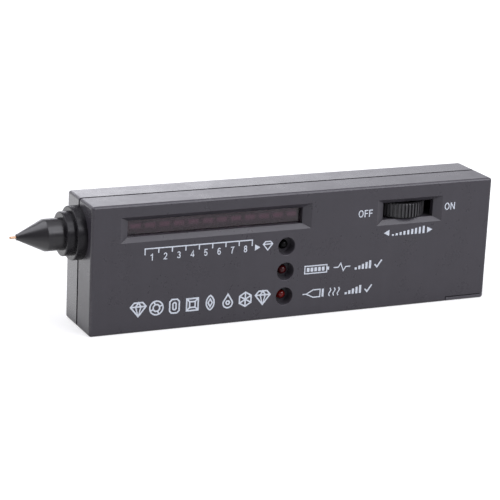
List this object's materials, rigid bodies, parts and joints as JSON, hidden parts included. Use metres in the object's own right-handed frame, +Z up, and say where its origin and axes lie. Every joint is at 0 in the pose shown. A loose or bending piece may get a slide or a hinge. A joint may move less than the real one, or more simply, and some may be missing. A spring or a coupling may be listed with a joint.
{
  "type": "diamond tester",
  "caption": "Flat hand-held tester with a stepped nose and sprung tip, a barred display window, indicator lamps, a recessed ribbed thumbwheel and a sliding battery door.",
  "frame": {"origin": "middle of the whole object's base, on the narrow side on which the case stands", "axes": "+X along the case from the nose towards the tail, +Y from the display face towards the back, +Z up"},
  "size_m": [0.157, 0.021, 0.04],
  "materials": {
    "case_plastic": "fine satin moulded black plastic",
    "door_plastic": "satin moulded black plastic",
    "nose_plastic": "smooth turned-looking black plastic",
    "smoked_window": "dark smoked red acrylic",
    "bar_housing_plastic": "dark moulded housing",
    "bar_diffuser": "red diffusing resin",
    "lamp_dark": "dark tinted resin lens",
    "lamp_red": "red tinted resin lens",
    "tinned_leg": "tinned wire",
    "board_laminate": "green solder resist on laminate",
    "chip_resin": "moulded black resin",
    "capacitor_can": "dark blue sleeve on a bright can",
    "resistor_body": "lacquered ceramic with colour bands",
    "trimmer_plastic": "blue moulded plastic",
    "socket_plastic": "natural nylon",
    "wheel_plastic": "black ribbed plastic, slightly worn crests",
    "spindle_metal": "bright drawn rod",
    "screw_steel": "zinc-plated steel",
    "carrier_brass": "turned brass",
    "tip_copper": "bright copper",
    "spring_steel": "drawn spring wire",
    "lead_white": "white insulated wire",
    "lead_red": "red insulated wire",
    "lead_black": "black insulated wire",
    "battery_jacket": "plain printed steel jacket",
    "battery_cell": "bright cell can",
    "terminal_metal": "nickel-plated snap terminals",
    "pad_foam": "dark soft foam",
    "print_ink": "pale screen-printed ink"
  },
  "bodies": {
    "case": {"front_shell": "case_plastic", "rear_shell": "case_plastic", "display_window": "smoked_window", "bar_housing": "bar_housing_plastic", "light_bars": "bar_diffuser", "lamp_upper": "lamp_dark", "lamp_middle": "lamp_red", "lamp_lower": "lamp_red", "lamp_legs": "tinned_leg", "main_board": "board_laminate", "driver_chip": "chip_resin", "amplifier_chip": "chip_resin", "chip_pins": "tinned_leg", "capacitors": "capacitor_can", "resistors": "resistor_body", "component_legs": "tinned_leg", "trimmer": "trimmer_plastic", "sounder": "chip_resin", "probe_socket": "socket_plastic", "level_control": "chip_resin", "level_control_pins": "tinned_leg", "probe_collar": "nose_plastic", "probe_nut": "nose_plastic", "probe_cone": "nose_plastic", "probe_spring": "spring_steel", "probe_seat": "nose_plastic", "probe_leads": "lead_white", "battery_jacket": "battery_jacket", "battery_cells": "battery_cell", "battery_terminals": "terminal_metal", "battery_snap": "chip_resin", "snap_lead_red": "lead_red", "snap_lead_black": "lead_black", "battery_pad": "pad_foam", "case_screws": "screw_steel", "board_screws": "screw_steel"},
    "thumbwheel": {"thumbwheel": "wheel_plastic", "wheel_spindle": "spindle_metal", "wheel_screw": "screw_steel"},
    "probe_tip": {"probe_pin": "tip_copper", "probe_carrier": "carrier_brass"},
    "battery_door": {"battery_door": "door_plastic"}
  },
  "joints": [
    {"name": "thumbwheel_spin", "type": "hinge", "parent": "case", "child": "thumbwheel", "pos_m": [0.04915, -0.00215, 0.03115], "axis": [0, 0, 1], "range_deg": [0, 280]},
    {"name": "probe_slide", "type": "slide", "parent": "case", "child": "probe_tip", "axis": [1, 0, 0], "range_m": [0, 0.0012], "stiffness_N_per_m": 250, "springref_m": -0.002, "deforming": ["probe_spring"]},
    {"name": "battery_door_slide", "type": "slide", "parent": "case", "child": "battery_door", "axis": [1, 0, 0], "range_m": [0, 0.052]}
  ]
}
